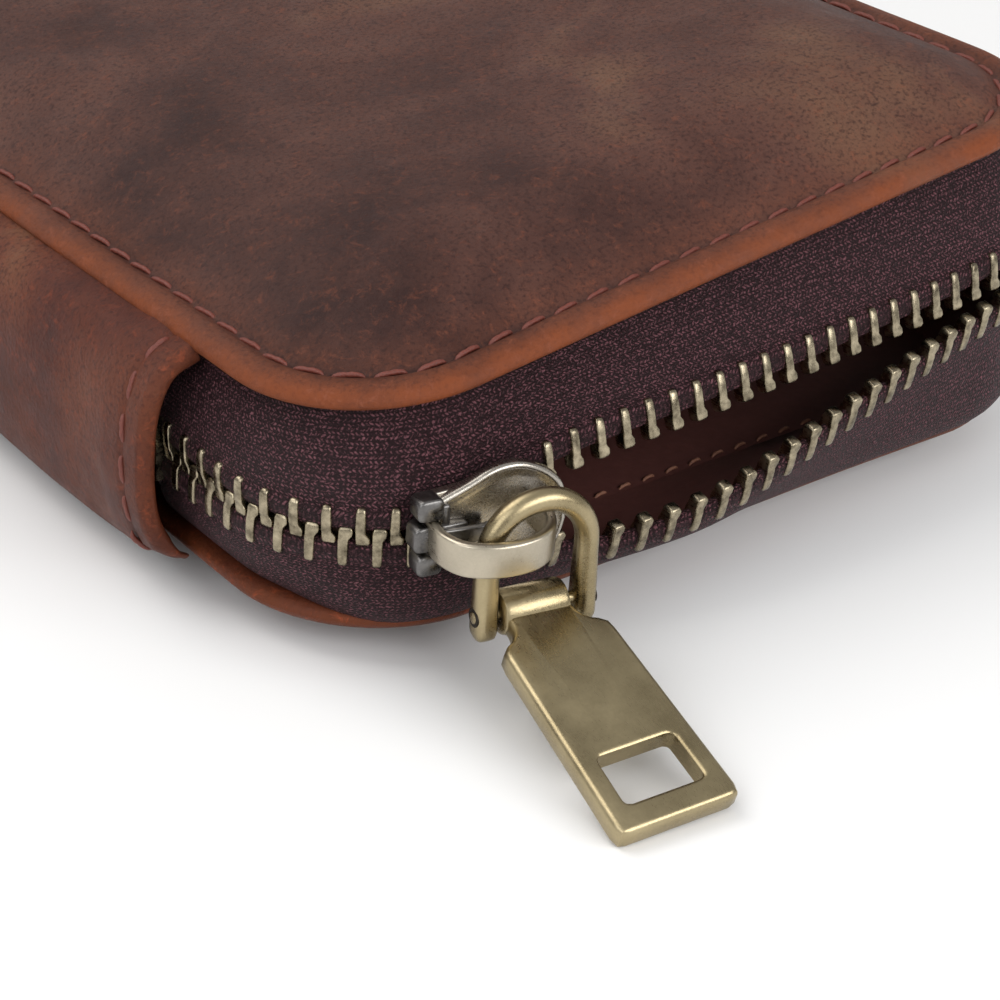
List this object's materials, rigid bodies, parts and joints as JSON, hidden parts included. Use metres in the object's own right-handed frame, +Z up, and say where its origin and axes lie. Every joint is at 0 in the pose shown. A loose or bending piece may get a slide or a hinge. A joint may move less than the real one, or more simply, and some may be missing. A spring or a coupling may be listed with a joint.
{
  "type": "zip-around leather pouch",
  "caption": "Padded leather clutch pouch with a hinged top cover, a leather spine and a metal zip that runs round three sides; the slider carries a bail and a slotted pull plate.",
  "frame": {"origin": "middle of the flat base of the bottom cover", "axes": "+X across the front from the spine to the open side, +Y from the front edge with the slider to the back, +Z up"},
  "size_m": [0.0927, 0.2164, 0.0375],
  "materials": {
    "leather": "waxed dark brown pull-up leather, satin",
    "board": "felt padding, hidden",
    "lining": "thin dark red-brown lining leather, matte",
    "thread": "waxed copper-brown thread",
    "tape": "dark brown twill zip tape, matte",
    "teeth": "pale antique brass, worn bright",
    "slider": "dark antique nickel over brass, polished",
    "pull": "antique brass, brushed satin"
  },
  "bodies": {
    "bottom_half": {"bottom_cover": "leather", "bottom_cover_board": "board", "bottom_cover_lining": "lining", "bottom_cover_thread": "thread", "spine_strip": "leather", "spine_lining": "lining", "spine_thread_front": "thread", "spine_thread_back": "thread", "pocket_panel": "lining", "pocket_thread": "thread", "zip_tape_lower": "tape", "zip_chain_lower": "teeth", "bottom_stop": "teeth", "top_stop_lower": "teeth"},
    "top_half": {"top_cover": "leather", "top_cover_board": "board", "top_cover_lining": "lining", "top_cover_thread": "thread", "zip_tape_upper": "tape", "zip_chain_upper": "teeth", "top_stop_upper": "teeth"},
    "slider": {"slider_body": "slider", "slider_bridge": "slider"},
    "pawl": {"locking_pawl": "slider"},
    "bail": {"pull_bail": "pull", "pull_pin": "pull"},
    "plate": {"pull_plate": "pull"}
  },
  "joints": [
    {"name": "cover_hinge", "type": "hinge", "parent": "bottom_half", "child": "top_half", "pos_m": [-0.0425, 0, 0.0127], "axis": [0, -1, 0], "range_deg": [0, 75], "deforming": ["spine_strip", "spine_thread_front", "spine_thread_back", "zip_tape_upper", "zip_chain_upper"]},
    {"name": "slider_travel", "type": "slide", "parent": "bottom_half", "child": "slider", "axis": [1, 0, 0], "range_m": [0, 0.046], "deforming": ["zip_tape_lower", "zip_chain_lower"]},
    {"name": "pawl_lift", "type": "hinge", "parent": "slider", "child": "pawl", "pos_m": [-0.03447, -0.09501, 0.0127], "axis": [0, 0, -1], "range_deg": [0, 4.5]},
    {"name": "bail_swing", "type": "hinge", "parent": "slider", "child": "bail", "pos_m": [-0.03247, -0.09809, 0.0077], "axis": [0, 0, -1], "range_deg": [0, 65]},
    {"name": "plate_swing", "type": "hinge", "parent": "bail", "child": "plate", "pos_m": [-0.02787, -0.09907, 0.0077], "axis": [0.9781, -0.2079, 0], "range_deg": [-45, 70]}
  ]
}
